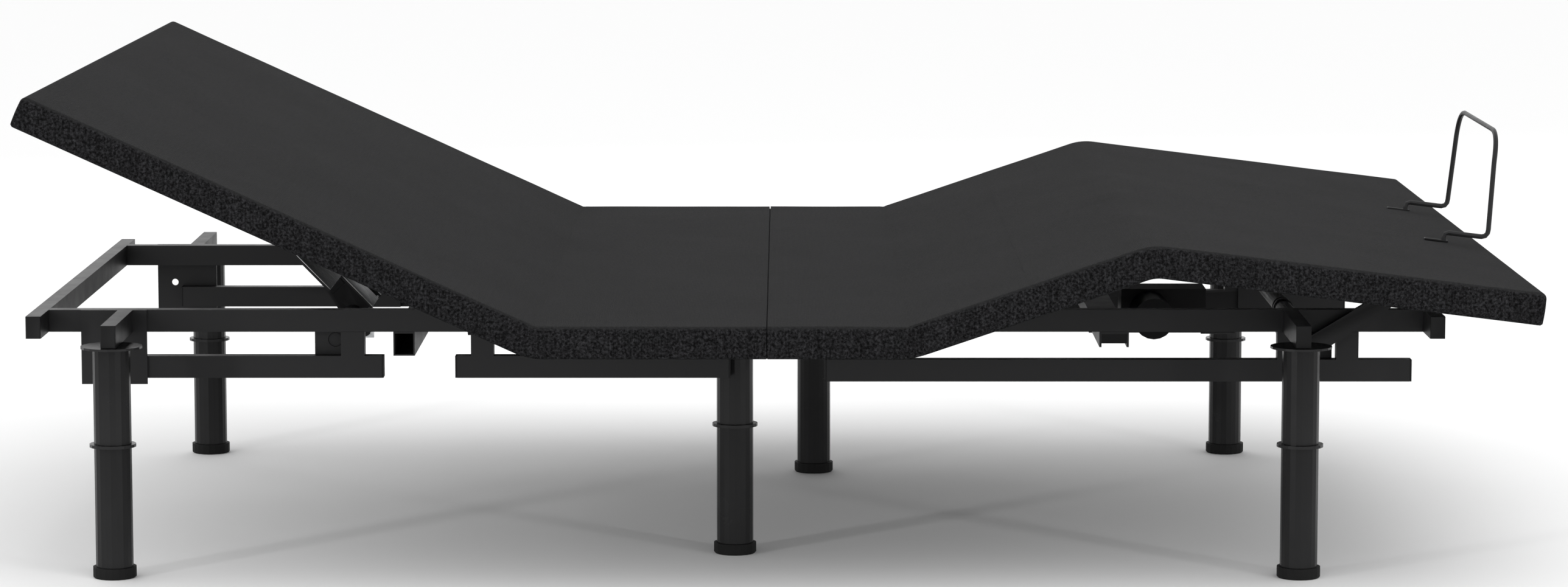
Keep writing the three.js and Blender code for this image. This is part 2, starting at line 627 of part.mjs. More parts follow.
// ---- foot lift ----
// The shaft turns in the bearing plates. Its arms lie outside the rails and are pinned to the
// calf lugs, and the foot actuator pushes the crank in its middle.
function footLiftFrame() {
  const shaftRadius = 12;
  const armThickness = 12;
  const cheekInner = 6.5;
  const cheekOuter = 12;
  const crankTurn = degrees(FOOT_ARM_REST - FOOT_CRANK_REST);
  const pieces = [];
  for (const { sign } of sides) {
    const [t0, t1] = span(sign, cheekInner, FOOT_ARM_Y + 1);
    pieces.push(rodAlongY(0, 0, shaftRadius, t0, t1));
    const [a0, a1] = span(sign, FOOT_ARM_Y, FOOT_ARM_Y + armThickness);
    const arm = new THREE.Shape();
    arm.absarc(0, 0, 13, Math.PI / 2, (3 * Math.PI) / 2);
    arm.absarc(FOOT_ARM_LENGTH, 0, 11, -Math.PI / 2, Math.PI / 2);
    arm.closePath();
    pieces.push(extrudeAlongY(arm, a0, a1, 8));
    const [p0, p1] = span(sign, FOOT_ARM_Y + 1, FOOT_ARM_Y + 23);
    pieces.push(rodAlongY(FOOT_ARM_LENGTH, 0, PIN_RADIUS, p0, p1, 16));
    const [c0, c1] = span(sign, cheekInner, cheekOuter);
    const cheek = new THREE.Shape();
    cheek.absarc(0, 0, 14, 0, Math.PI);
    cheek.lineTo(-9, -FOOT_CRANK);
    cheek.absarc(0, -FOOT_CRANK, 8, Math.PI, 2 * Math.PI);
    cheek.closePath();
    pieces.push(extrudeAlongY(cheek, c0, c1, 8).rotateY(crankTurn));
  }
  pieces.push(rodAlongY(0, -FOOT_CRANK, PIN_RADIUS, -cheekOuter, cheekOuter, 16).rotateY(crankTurn));
  return join(...pieces);
}

function addFootLift() {
  const lift = new THREE.Group();
  lift.position.set(FOOT_LIFT.x, 0, FOOT_LIFT.z);
  lift.rotation.y = -degrees(FOOT_ARM_REST);
  bed.add(lift);
  add("foot_lift_frame", footLiftFrame(), blackCoat(), lift);
}

// ---- actuators ----
// A gearbox with the motor across it and the outer tube in front. It points along +X from its
// rear pin at x = 0, on the rod's axis at z = 0.
function actuatorBody({ boxStart, boxEnd, boxBottom, boxTop, tubeEnd, tubeRadius, boreRadius, motorSide }) {
  const pieces = [block(boxStart, boxEnd, -34, 34, boxBottom, boxTop)];
  const motorX = boxStart + 40;
  const motorZ = (boxBottom + boxTop) / 2;
  const [m0, m1] = span(motorSide, 33, 128);
  pieces.push(rodAlongY(motorX, motorZ, 29, m0, m1));
  pieces.push(rodAlongX(0, 0, tubeRadius, boxEnd - 4, tubeEnd));
  for (const { sign } of sides) {
    const [e0, e1] = span(sign, 4.4, 9);
    pieces.push(block(-8, boxStart + 1, e0, e1, -9, 9));
  }
  const bore = rodAlongX(0, 0, boreRadius, boxEnd, tubeEnd + 5);
  return cut(join(...pieces), bore);
}

// The rod with a slotted yoke at its end, for the crank pin. It points along +X, with the
// slot's centre at x = 0; the slot lets the crank pin rise and fall.
function actuatorRod({ length, radius, slotZ, slotHalfHeight, slotHalfWidth, wall }) {
  const around = (margin) => {
    const halfWidth = slotHalfWidth + margin;
    const halfHeight = slotHalfHeight + margin;
    return rectangle(-halfWidth, halfWidth, slotZ - halfHeight, slotZ + halfHeight);
  };
  const yoke = around(wall);
  yoke.holes.push(around(0));
  const rod = rodAlongX(0, 0, radius, -length, -slotHalfWidth - 1);
  return join(extrudeAlongY(yoke, -5, 5), rod);
}

function addHeadActuator() {
  const body = actuatorBody({
    boxStart: 26,
    boxEnd: 152,
    boxBottom: -17,
    boxTop: 46,
    tubeEnd: 387,
    tubeRadius: 15,
    boreRadius: 8,
    motorSide: 1,
  });
  const motor = add("head_actuator", body, blackPlastic());
  motor.position.set(MIDDLE_LEG_NEAR.x, 0, HEAD_ROD_Z);
  motor.rotation.z = Math.PI;
  const slot = { slotZ: 3, slotHalfHeight: 16, slotHalfWidth: 8.4 };
  const rod = actuatorRod({ length: 345, radius: 7, wall: 5, ...slot });
  const push = add("head_actuator_rod", rod, zincPlate());
  push.position.set(HEAD_LIFT.x + 6.4, 0, HEAD_ROD_Z);
  push.rotation.z = Math.PI;
}

function addFootActuator() {
  const body = actuatorBody({
    boxStart: 35,
    boxEnd: 156,
    boxBottom: -6,
    boxTop: 57,
    tubeEnd: 200,
    tubeRadius: 12,
    boreRadius: 7,
    motorSide: -1,
  });
  const motor = add("foot_actuator", body, blackPlastic());
  motor.position.set(456, 0, FOOT_ROD_Z);
  const slot = { slotZ: 1.6, slotHalfHeight: 7.5, slotHalfWidth: 6 };
  const rod = actuatorRod({ length: 90, radius: 6, wall: 4.5, ...slot });
  const push = add("foot_actuator_rod", rod, zincPlate());
  push.position.set(FOOT_LIFT.x + 0.9, 0, FOOT_ROD_Z);
}

// ---- control box, under the foot half of the seat ----
function addControlBox() {
  const top = DECK_TOP - FOAM_THICKNESS - BOARD_THICKNESS - GAP;
  const shell = block(75, 158, 150, 290, top - 38, top);
  const inlet = block(100, 128, 140, 158, top - 30, top - 12);
  add("control_box", cut(shell, inlet), blackPlastic());
}

addRails();
addCrossMembers();
addLowerTubes();
addLegArms();
addLegs();
addSeat();
addBack();
addThighAndCalf();
addHeadLift();
addFootLift();
addHeadActuator();
addFootActuator();
addControlBox();

export default bed;
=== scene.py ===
"""Adjustable bed base: padded covers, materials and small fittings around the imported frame."""
import math

import bmesh
import bpy
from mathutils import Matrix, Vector


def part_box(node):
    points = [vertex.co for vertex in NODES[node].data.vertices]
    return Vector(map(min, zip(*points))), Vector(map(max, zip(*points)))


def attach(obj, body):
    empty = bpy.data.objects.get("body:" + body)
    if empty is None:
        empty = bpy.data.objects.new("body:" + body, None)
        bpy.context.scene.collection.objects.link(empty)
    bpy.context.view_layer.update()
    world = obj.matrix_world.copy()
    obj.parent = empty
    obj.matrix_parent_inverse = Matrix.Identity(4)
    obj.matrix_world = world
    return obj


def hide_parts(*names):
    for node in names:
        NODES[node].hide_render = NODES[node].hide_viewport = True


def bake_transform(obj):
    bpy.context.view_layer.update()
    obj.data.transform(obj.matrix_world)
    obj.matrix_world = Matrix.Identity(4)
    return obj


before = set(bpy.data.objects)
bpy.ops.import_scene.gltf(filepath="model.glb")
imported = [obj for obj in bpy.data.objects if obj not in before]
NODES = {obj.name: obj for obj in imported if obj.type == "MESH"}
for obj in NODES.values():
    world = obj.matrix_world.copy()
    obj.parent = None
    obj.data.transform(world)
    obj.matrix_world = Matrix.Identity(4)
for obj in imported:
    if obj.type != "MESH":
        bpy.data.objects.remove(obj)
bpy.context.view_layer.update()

# ---------------------------------------------------------------- deck sizes
DECK_TOP = 0.363
HALF_WIDTH = 0.762
SKIRT = 0.042
THICK = 0.0123  # skirt thickness, and the clearance to the board
FOAM = 0.0101
BACK_HINGE = -0.310
SPLIT = -0.013
THIGH_HINGE = 0.167
THIGH = 0.325
CALF = 0.505
KNEE_DEPTH = 0.022
BACK_LENGTH = 0.715
BACK_TILT = math.radians(24.5)
THIGH_TILT = math.radians(18.7)
CALF_TILT = math.radians(18.7 - 25.8)


# ---------------------------------------------------------------- materials
def new_material(name):
    material = bpy.data.materials.new(name)
    material.use_nodes = True
    tree = material.node_tree
    tree.nodes.clear()
    out = tree.nodes.new("ShaderNodeOutputMaterial")
    shader = tree.nodes.new("ShaderNodeBsdfPrincipled")
    tree.links.new(shader.outputs[0], out.inputs[0])
    return material, tree, shader


def feed(tree, socket, value):
    """Links a node's output to a socket, or sets the socket to a plain value."""
    if hasattr(value, "is_output"):
        tree.links.new(value, socket)
    else:
        socket.default_value = value


def node(tree, kind, inputs=None, **settings):
    made = tree.nodes.new(kind)
    for key, value in settings.items():
        setattr(made, key, value)
    for key, value in (inputs or {}).items():
        feed(tree, made.inputs[key], value)
    return made


def coordinates(tree, scale=(1, 1, 1)):
    place = node(tree, "ShaderNodeTexCoord")
    return node(tree, "ShaderNodeMapping", {"Vector": place.outputs["Object"], "Scale": scale}).outputs[0]


def noise(tree, vector, scale, detail, roughness=0.5):
    inputs = {"Vector": vector, "Scale": scale, "Detail": detail, "Roughness": roughness}
    return node(tree, "ShaderNodeTexNoise", inputs).outputs["Fac"]


def thread_rows(tree, vector, direction):
    inputs = {"Vector": vector, "Scale": 170.0, "Distortion": 1.2, "Detail": 2.0, "Detail Scale": 3.0}
    return node(tree, "ShaderNodeTexWave", inputs, bands_direction=direction).outputs["Fac"]


def ramp(tree, value, low, high, dark, light):
    made = node(tree, "ShaderNodeValToRGB", {"Fac": value})
    made.color_ramp.elements[0].position = low
    made.color_ramp.elements[1].position = high
    made.color_ramp.elements[0].color = (*dark, 1)
    made.color_ramp.elements[1].color = (*light, 1)
    return made.outputs[0]


def mix_color(tree, factor, a, b, blend="MIX"):
    made = node(tree, "ShaderNodeMix", data_type="RGBA", blend_type=blend)
    feed(tree, made.inputs[0], factor)
    feed(tree, made.inputs[6], a)
    feed(tree, made.inputs[7], b)
    return made.outputs[2]


def math_node(tree, operation, a, b):
    made = node(tree, "ShaderNodeMath", operation=operation)
    feed(tree, made.inputs[0], a)
    feed(tree, made.inputs[1], b)
    return made.outputs[0]


def bump(tree, shader, height, strength, distance, normal=None):
    inputs = {"Height": height, "Strength": strength, "Distance": distance}
    if normal is not None:
        inputs["Normal"] = normal
    made = node(tree, "ShaderNodeBump", inputs)
    tree.links.new(made.outputs[0], shader.inputs["Normal"])
    return made.outputs[0]


def fabric_material(name, top, side):
    """A close charcoal knit: woven threads, slubs that run down the sides, and faint mottling. Up-facing
    faces take the lighter top colour and the rest the darker side colour: painted light on the top and
    painted shade on the sides of the one fabric.
    """
    material, tree, shader = new_material(name)
    shader.inputs["Roughness"].default_value = 0.94
    shader.inputs["Specular IOR Level"].default_value = 0.05
    spot = coordinates(tree)
    speckle = noise(tree, spot, 290.0, 3.0, 0.75)
    knots = node(tree, "ShaderNodeTexVoronoi", {"Vector": spot, "Scale": 340.0, "Randomness": 0.9})
    drift = noise(tree, spot, 5.0, 4.0, 0.6)
    slubs = noise(tree, coordinates(tree, (330, 330, 12)), 1.0, 2.0, 0.7)
    weave = math_node(tree, "MULTIPLY", thread_rows(tree, spot, "X"), thread_rows(tree, spot, "Y"))
    facing = node(tree, "ShaderNodeNewGeometry")
    upward = node(tree, "ShaderNodeSeparateXYZ", {"Vector": facing.outputs["Normal"]})
    lit_top_mask = node(
        tree,
        "ShaderNodeMapRange",
        {"Value": upward.outputs["Z"], "From Min": 0.35, "From Max": 0.8},
        interpolation_type="SMOOTHSTEP",
    ).outputs[0]
    # Painted light and shade: the top colour is a painted lit top, the side colour painted shaded sides of
    # the same knit.
    lit_and_shaded_base = mix_color(tree, lit_top_mask, (*side, 1), (*top, 1))
    thread = ramp(tree, speckle, 0.38, 0.64, (0.3, 0.3, 0.3), (2.0, 2.0, 2.03))
    slub = ramp(tree, slubs, 0.35, 0.7, (0.72, 0.72, 0.72), (1.32, 1.32, 1.33))
    cloud = ramp(tree, drift, 0.3, 0.7, (0.93, 0.93, 0.93), (1.06, 1.06, 1.06))
    fleck = mix_color(tree, 1.0, thread, slub, "MULTIPLY")
    calm = mix_color(tree, lit_top_mask, fleck, (1, 1, 1, 1))
    top_thread = ramp(tree, speckle, 0.36, 0.66, (0.74, 0.74, 0.74), (1.26, 1.26, 1.27))
    color = mix_color(tree, 1.0, lit_and_shaded_base, calm, "MULTIPLY")
    color = mix_color(tree, 1.0, color, top_thread, "MULTIPLY")
    color = mix_color(tree, 1.0, color, cloud, "MULTIPLY")
    tree.links.new(color, shader.inputs["Base Color"])
    height = math_node(tree, "ADD", weave, knots.outputs["Distance"])
    first = bump(tree, shader, height, 0.5, 0.0006)
    bump(tree, shader, drift, 0.35, 0.004, first)
    return material


def coat_material(name, color, roughness, grain=1400.0, edge_lightening=0.5, specular=0.1):
    """Powder coat: fine orange peel, slight unevenness, and convex edges made a little lighter."""
    material, tree, shader = new_material(name)
    spot = coordinates(tree)
    peel = noise(tree, spot, grain, 2.0, 0.6)
    patch = noise(tree, spot, 22.0, 5.0, 0.65)
    surface_shape = node(tree, "ShaderNodeNewGeometry")
    edge = ramp(tree, surface_shape.outputs["Pointiness"], 0.505, 0.56, (0, 0, 0), (edge_lightening, edge_lightening, edge_lightening))
    dark = tuple(c * 0.82 for c in color)
    light = tuple(min(1, c * 1.25) for c in color)
    body = ramp(tree, patch, 0.3, 0.72, dark, light)
    edge_color = tuple(min(1, c * 2.2 + 0.02) for c in color)
    tree.links.new(mix_color(tree, edge, body, (*edge_color, 1)), shader.inputs["Base Color"])
    rough = ramp(tree, patch, 0.25, 0.75, (roughness - 0.05,) * 3, (roughness + 0.07,) * 3)
    tree.links.new(rough, shader.inputs["Roughness"])
    shader.inputs["Specular IOR Level"].default_value = specular
    bump(tree, shader, peel, 0.22, 0.0003)
    return material


def plastic_material(name, color, roughness):
    """Moulded plastic with a fine spark-eroded grain."""
    material, tree, shader = new_material(name)
    spot = coordinates(tree)
    grain = node(tree, "ShaderNodeTexVoronoi", {"Vector": spot, "Scale": 1500.0, "Randomness": 1.0})
    cloud = noise(tree, spot, 30.0, 4.0)
    dark = tuple(c * 0.85 for c in color)
    light = tuple(c * 1.2 for c in color)
    body = ramp(tree, cloud, 0.3, 0.7, dark, light)
    tree.links.new(body, shader.inputs["Base Color"])
    shader.inputs["Roughness"].default_value = roughness
    shader.inputs["Specular IOR Level"].default_value = 0.15
    bump(tree, shader, grain.outputs["Distance"], 0.25, 0.0003)
    return material


def zinc_material(name):
    """Bright zinc plate with faint drawn lines and dull spangles."""
    material, tree, shader = new_material(name)
    lines = noise(tree, coordinates(tree, (15, 900, 900)), 1.0, 3.0, 0.7)
    spangle = node(tree, "ShaderNodeTexVoronoi", {"Vector": coordinates(tree), "Scale": 130.0})
    body = ramp(tree, spangle.outputs["Color"], 0.2, 0.8, (0.42, 0.43, 0.44), (0.62, 0.63, 0.64))
    tree.links.new(body, shader.inputs["Base Color"])
    rough = ramp(tree, lines, 0.3, 0.7, (0.26,) * 3, (0.42,) * 3)
    tree.links.new(rough, shader.inputs["Roughness"])
    shader.inputs["Metallic"].default_value = 1.0
    bump(tree, shader, lines, 0.15, 0.0002)
    return material


def dust_cover_material(name):
    """Black spun-bonded cloth over the boards: matted fibres and a faint embossed dot grid."""
    material, tree, shader = new_material(name)
    spot = coordinates(tree)
    fibres = noise(tree, spot, 260.0, 6.0, 0.8)
    dots = node(tree, "ShaderNodeTexVoronoi", {"Vector": spot, "Scale": 480.0, "Randomness": 0.15})
    body = ramp(tree, fibres, 0.3, 0.7, (0.006, 0.006, 0.007), (0.02, 0.02, 0.021))
    tree.links.new(body, shader.inputs["Base Color"])
    shader.inputs["Roughness"].default_value = 0.97
    shader.inputs["Specular IOR Level"].default_value = 0.15
    height = math_node(tree, "ADD", fibres, dots.outputs["Distance"])
    bump(tree, shader, height, 0.4, 0.0008)
    return material


# Painted light: the first colour is the knit's top with painted light, the second its sides with painted
# shade.
FABRIC = fabric_material("charcoal_knit", (0.0145, 0.0145, 0.0149), (0.0085, 0.0085, 0.0088))
COAT = coat_material("black_powder_coat", (0.0055, 0.0055, 0.0058), 0.42)
LEG_COAT = coat_material("black_satin_leg", (0.0035, 0.0035, 0.0037), 0.22, grain=900.0, specular=0.12)
PLASTIC = plastic_material("black_moulded_plastic", (0.006, 0.006, 0.0063), 0.55)
RUBBER = plastic_material("soft_glide", (0.006, 0.006, 0.006), 0.72)
ZINC = zinc_material("zinc_plate")
DUST = dust_cover_material("dust_cover")


def dress(obj, material):
    obj.data.materials.clear()
    obj.data.materials.append(material)


for name, obj in NODES.items():
    if name.endswith("_board"):
        dress(obj, DUST)
    elif name.endswith("actuator_rod"):
        dress(obj, ZINC)
    elif name.startswith("leg_upper") or name.startswith("leg_lower"):
        dress(obj, LEG_COAT)
    elif name.startswith("glide"):
        dress(obj, RUBBER)
    elif name in ("head_actuator", "foot_actuator", "control_box") or "roller" in name:
        dress(obj, PLASTIC)
    else:
        dress(obj, COAT)

for name, obj in NODES.items():
    if name.startswith(("leg_", "glide_", "mattress_retainer", "head_roller")):
        obj.data.polygons.foreach_set("use_smooth", [True] * len(obj.data.polygons))
        obj.data.set_sharp_from_angle(angle=math.radians(35))


# ---------------------------------------------------------------- mesh helpers
def mesh_object(name, points, faces, material):
    mesh = bpy.data.meshes.new(name)
    mesh.from_pydata([tuple(p) for p in points], [], faces)
    mesh.update()
    obj = bpy.data.objects.new(name, mesh)
    bpy.context.scene.collection.objects.link(obj)
    mesh.materials.append(material)
    return obj


class Corner:
    """A bend in the deck: where its top planes meet, and the directions before and after it."""

    def __init__(self, at, before, after, reach):
        self.at = Vector((at[0], 0, at[1]))
        self.before = Vector((math.cos(before), 0, math.sin(before)))
        self.after = Vector((math.cos(after), 0, math.sin(after)))
        self.reach = reach

    def place(self, along, height):
        """The point at a distance along the top, measured from the corner, and a height above it."""
        up_before = Vector((-self.before.z, 0, self.before.x))
        up_after = Vector((-self.after.z, 0, self.after.x))
        if along <= -self.reach:
            return self.at + self.before * along + up_before * height
        if along >= self.reach:
            return self.at + self.after * along + up_after * height
        start = self.at - self.before * self.reach + up_before * height
        end = self.at + self.after * self.reach + up_after * height
        middle_up = (up_before + up_after).normalized()
        meeting = self.at + middle_up * (height / middle_up.dot(up_before))
        t = (along + self.reach) / (2 * self.reach)
        return start * (1 - t) ** 2 + meeting * 2 * t * (1 - t) + end * t**2


def soft(x, y, seed):
    """A slow, small unevenness, the same on every run."""
    return (
        math.sin(x * 17.3 + seed) * math.cos(y * 11.9 + seed * 1.7)
        + 0.6 * math.sin(x * 41.0 + y * 23.0 + seed * 2.3)
        + 0.4 * math.cos(y * 57.0 - x * 31.0 + seed)
    )


EDGE = 0.0075  # how round the top edge is
LOW_EDGE = 0.003  # how round the skirt's lower edge is
SWELL = 0.0009  # how far the skirts stand out at half their height
RIPPLE = 0.00035  # how uneven the skirts are
TOP_WAVE = 0.0007  # how uneven the top is
TOP_SINK = 0.0006  # how far the top lies below its edges
MARGIN = 0.03  # the top is even within this distance of an edge
CREASE_DEPTH = 0.0012
CREASE_WIDTH = 0.004
FOLD_DEPTH = 0.0016  # where the skirt bunches below a crease
FOLD_WIDTH = 0.012

# Distances in from an edge, closer together on the rounding, and on down the skirt.
EDGE_STEPS = [0, 0.0012, 0.003, 0.0052, 0.0075, 0.012]
SKIRT_STEPS = [0.018, 0.024, 0.030, 0.035, 0.039, 0.0405, SKIRT]
SIDE_HEIGHTS = [-step for step in EDGE_STEPS + SKIRT_STEPS]


def spread(start, end, step):
    count = max(1, round((end - start) / step))
    return [start + (end - start) * i / count for i in range(count + 1)]


def across_stations():
    half = [HALF_WIDTH - e for e in EDGE_STEPS]
    inner = spread(0, half[-1], 0.06)
    right = sorted(set([round(v, 6) for v in inner + half]))
    return [-v for v in reversed(right) if v > 0] + right


def along_stations(length, corners, first_round, last_round):
    """Stations from 0 to length, closer at the ends that are rounded and at the bends."""
    found = set(round(v, 6) for v in spread(0, length, 0.035))
    for end, is_round in ((0, first_round), (length, last_round)):
        steps = EDGE_STEPS if is_round else [0, 0.0008, 0.002, 0.004]
        for e in steps:
            found.add(round(e if end == 0 else length - e, 6))
    for c in corners:
        for i in range(-14, 15):
            v = c + i * 0.0032
            if 0 < v < length:
                found.add(round(v, 6))
    ordered = sorted(found)
    kept = [ordered[0]]
    for v in ordered[1:]:
        if v - kept[-1] > 0.0006:
            kept.append(v)
    return kept


def shape_outer(s, y, z, length, round_start, round_end, seed, creases):
    """Rounds the box's edges, swells its sides a little and gives its top a slight unevenness."""
    ox, oy, oz = s, y, z
    lo = EDGE if round_start else -1
    hi = length - EDGE if round_end else length + 1
    qs = min(max(s, lo), hi)
    qy = min(max(y, -HALF_WIDTH + EDGE), HALF_WIDTH - EDGE)
    qz = min(z, -EDGE)
    v = Vector((s - qs, y - qy, z - qz))
    if v.length > 1e-9:
        v = v.normalized() * EDGE
        s, y, z = qs + v.x, qy + v.y, qz + v.z
    swell = math.sin(math.pi * min(1, max(0, -oz / SKIRT))) * SWELL
    ripple = RIPPLE * soft(ox * 3, oz * 30, seed)
    if abs(abs(oy) - HALF_WIDTH) < 1e-6:
        y += math.copysign(swell + ripple, oy)
    if round_start and ox < 1e-6:
        s -= swell
    if round_end and ox > length - 1e-6:
        s += swell
    near_low = SKIRT + oz
    if near_low < LOW_EDGE:
        pull = LOW_EDGE - math.sqrt(max(0, LOW_EDGE**2 - (LOW_EDGE - near_low) ** 2))
        if abs(abs(oy) - HALF_WIDTH) < 1e-6:
            y -= math.copysign(pull, oy)
        if round_start and ox < 1e-6:
            s += pull
        if round_end and ox > length - 1e-6:
            s -= pull
    if oz == 0:
        margin = min(1, (HALF_WIDTH - abs(oy)) / MARGIN)
        ends = min(1, ox / MARGIN if round_start else 1, (length - ox) / MARGIN if round_end else 1)
        z += TOP_WAVE * soft(ox, oy, seed) * margin * ends - TOP_SINK * margin * ends
        for c in creases:
            z -= CREASE_DEPTH * math.exp(-(((ox - c) / CREASE_WIDTH) ** 2))
    for c in creases:
        fold = math.exp(-(((ox - c) / FOLD_WIDTH) ** 2)) * min(1, -oz / 0.02)
        if abs(abs(oy) - HALF_WIDTH) < 1e-6:
            y -= math.copysign(FOLD_DEPTH * fold * (0.6 + 0.4 * math.sin(ox * 900 + oz * 60)), oy)
    return s, y, z


def cover_mesh(
    name, length, place, skirt_start, skirt_end, seed, corners=(), closed=(True, True), creases=()
):
    """A padded cover: outer shell, turned-under hem, and a hollow for the board. closed says
    which of its unskirted ends are faced over. place(s, z) gives where a point at s along the
    top and z above it goes."""
    stations = along_stations(length, corners, skirt_start, skirt_end)
    if skirt_start:
        stations = sorted(set([v for v in stations if abs(v - THICK) > 0.001] + [THICK]))
    if skirt_end:
        stations = sorted(set([v for v in stations if abs(v - length + THICK) > 0.001] + [length - THICK]))
    ys = across_stations()
    outer = (
        [(-HALF_WIDTH, z) for z in reversed(SIDE_HEIGHTS[1:])]
        + [(y, 0.0) for y in ys]
        + [(HALF_WIDTH, z) for z in SIDE_HEIGHTS[1:]]
    )
    hem = 0.020  # how far the cover turns under the board's rim
    rim_low = -0.0402
    inner = [
        (HALF_WIDTH - hem, -SKIRT),
        (HALF_WIDTH - hem, rim_low),
        (HALF_WIDTH - THICK, rim_low),
        (HALF_WIDTH - THICK, -FOAM),
        (-HALF_WIDTH + THICK, -FOAM),
        (-HALF_WIDTH + THICK, rim_low),
        (-HALF_WIDTH + hem, rim_low),
        (-HALF_WIDTH + hem, -SKIRT),
    ]
    points, faces = [], []

    def put(s, y, z, shaped):
        if shaped:
            s, y, z = shape_outer(s, y, z, length, skirt_start, skirt_end, seed, creases)
        p = place(s, z)
        points.append((p.x, y, p.z))
        return len(points) - 1

    rings = [[put(s, y, z, True) for y, z in outer] for s in stations]
    count = len(outer)
    for a, b in zip(rings, rings[1:]):
        for i in range(count - 1):
            faces.append((a[i], b[i], b[i + 1], a[i + 1]))
    first = stations.index(THICK) if skirt_start else 0
    last = stations.index(length - THICK) if skirt_end else len(stations) - 1
    inner_rings = {}
    for k in range(len(stations)):
        if first <= k <= last:
            inner_rings[k] = [put(stations[k], y, z, False) for y, z in inner]
    for k in range(first, last):
        a, b = inner_rings[k], inner_rings[k + 1]
        faces.append((rings[k][-1], rings[k + 1][-1], b[0], a[0]))
        for i in range(len(inner) - 1):
            faces.append((a[i], b[i], b[i + 1], a[i + 1]))
        faces.append((a[-1], b[-1], rings[k + 1][0], rings[k][0]))

    def end_face(k, outward_negative):
        """The padded end: a grid across the width and down the depth, sharing the shell's edge."""
        ring = rings[k]
        depth = len(SIDE_HEIGHTS) - 1
        top_row = ring[depth : depth + len(ys)]
        left = list(reversed(ring[: depth + 1]))
        right = ring[depth + len(ys) - 1 :]
        rows = [top_row]
        for r in range(1, depth + 1):
            z = SIDE_HEIGHTS[r]
            row = [left[r]]
            for y in ys[1:-1]:
                row.append(put(stations[k], y, z, True))
            row.append(right[r])
            rows.append(row)
        for r0, r1 in zip(rows, rows[1:]):
            for i in range(len(ys) - 1):
                quad = (r0[i], r0[i + 1], r1[i + 1], r1[i])
                faces.append(quad if outward_negative else tuple(reversed(quad)))
        return rows[-1]

    def under_end(k_edge, k_wall, row, flip):
        """The underside of an end skirt, from its low edge back to the hollow."""
        ring_range = range(k_edge, k_wall) if k_edge < k_wall else range(k_wall, k_edge)
        for k in ring_range:
            if k == k_edge or k + 1 == k_edge:
                continue
            faces.append((rings[k][-1], rings[k + 1][-1], rings[k + 1][0], rings[k][0]))
        other = rings[k_edge + 1] if k_edge < k_wall else rings[k_edge - 1]
        loop = list(row) + [other[-1], other[0]]
        faces.append(tuple(loop if flip else reversed(loop)))

    if skirt_start:
        row = end_face(0, True)
        under_end(0, first, row, True)
        wall = inner_rings[first]
        faces.append(tuple(wall))
        faces.append((rings[first][-1], wall[0], wall[-1], rings[first][0]))
    elif closed[0]:
        faces.append(tuple(list(reversed(inner_rings[0])) + list(reversed(rings[0]))))
    if skirt_end:
        row = end_face(len(stations) - 1, False)
        under_end(len(stations) - 1, last, row, False)
        wall = inner_rings[last]
        faces.append(tuple(reversed(wall)))
        faces.append((rings[last][0], wall[-1], wall[0], rings[last][-1]))
    elif closed[1]:
        faces.append(tuple(list(rings[-1]) + list(inner_rings[len(stations) - 1])))
    obj = mesh_object(name, points, faces, FABRIC)
    tidy = bmesh.new()
    tidy.from_mesh(obj.data)
    bmesh.ops.recalc_face_normals(tidy, faces=tidy.faces)
    tidy.to_mesh(obj.data)
    tidy.free()
    obj.data.polygons.foreach_set("use_smooth", [True] * len(obj.data.polygons))
    obj.data.set_sharp_from_angle(angle=math.radians(40))
    return obj


GAP = 0.0007  # half the gap between the two halves of the seat
KNEE_REACH = 0.005  # how far past the knee hinge the thigh's and calf's tops run to meet
SOFT_BEND = 0.011
SOFT_KNEE = 0.020
SEED = 1.3
thigh_along = Vector((math.cos(THIGH_TILT), 0, math.sin(THIGH_TILT)))
back_bend = Corner((BACK_HINGE, DECK_TOP), -BACK_TILT, 0, SOFT_BEND)
thigh_bend = Corner((THIGH_HINGE, DECK_TOP), 0, THIGH_TILT, SOFT_BEND)
knee_at = Vector((THIGH_HINGE, 0, DECK_TOP)) + thigh_along * (THIGH + KNEE_REACH)
knee_bend = Corner((knee_at.x, knee_at.z), THIGH_TILT, CALF_TILT, SOFT_KNEE)

# The head half: back section and the head half of the seat.
head_length = BACK_LENGTH + (SPLIT - GAP - BACK_HINGE)
cover_head = cover_mesh(
    "cover_head",
    head_length,
    lambda s, z: back_bend.place(s - BACK_LENGTH, z),
    True,
    False,
    SEED,
    corners=(BACK_LENGTH,),
    creases=(BACK_LENGTH,),
)
# The foot half, up to the middle of the thigh, and from there to the foot end.
seat_foot = THIGH_HINGE - SPLIT - GAP
MEETING = 0.165  # how far up the thigh the two foot covers meet
cover_foot_seat = cover_mesh(
    "cover_foot_seat",
    seat_foot + MEETING,
    lambda s, z: thigh_bend.place(s - seat_foot, z),
    False,
    False,
    SEED,
    corners=(seat_foot,),
    closed=(True, False),
    creases=(seat_foot,),
)
thigh_rest = THIGH + KNEE_REACH - MEETING
cover_foot_legs = cover_mesh(
    "cover_foot_legs",
    thigh_rest + CALF + KNEE_REACH,
    lambda s, z: knee_bend.place(s - thigh_rest, z),
    False,
    True,
    SEED,
    corners=(thigh_rest,),
    closed=(False, True),
)

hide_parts("back_cover", "seat_head_cover")
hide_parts("seat_foot_cover")
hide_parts("thigh_cover", "calf_cover")
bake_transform(cover_head)
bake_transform(cover_foot_seat)
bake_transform(cover_foot_legs)


# ---------------------------------------------------------------- small fittings
TUBE_HALF_WIDTH = 0.010
TUBE_HEIGHT = 0.030
RAIL_MIDDLE_Y = 0.395
RAIL_TOP = 0.341
HEAD_LIFT = Vector((-0.600, 0, 0.298))
TIE_PLATE_SLOPE = math.radians(46)
TIE_PLATE_OFFSET = 0.028
TOE = Vector((0.445, 0.209, 0))


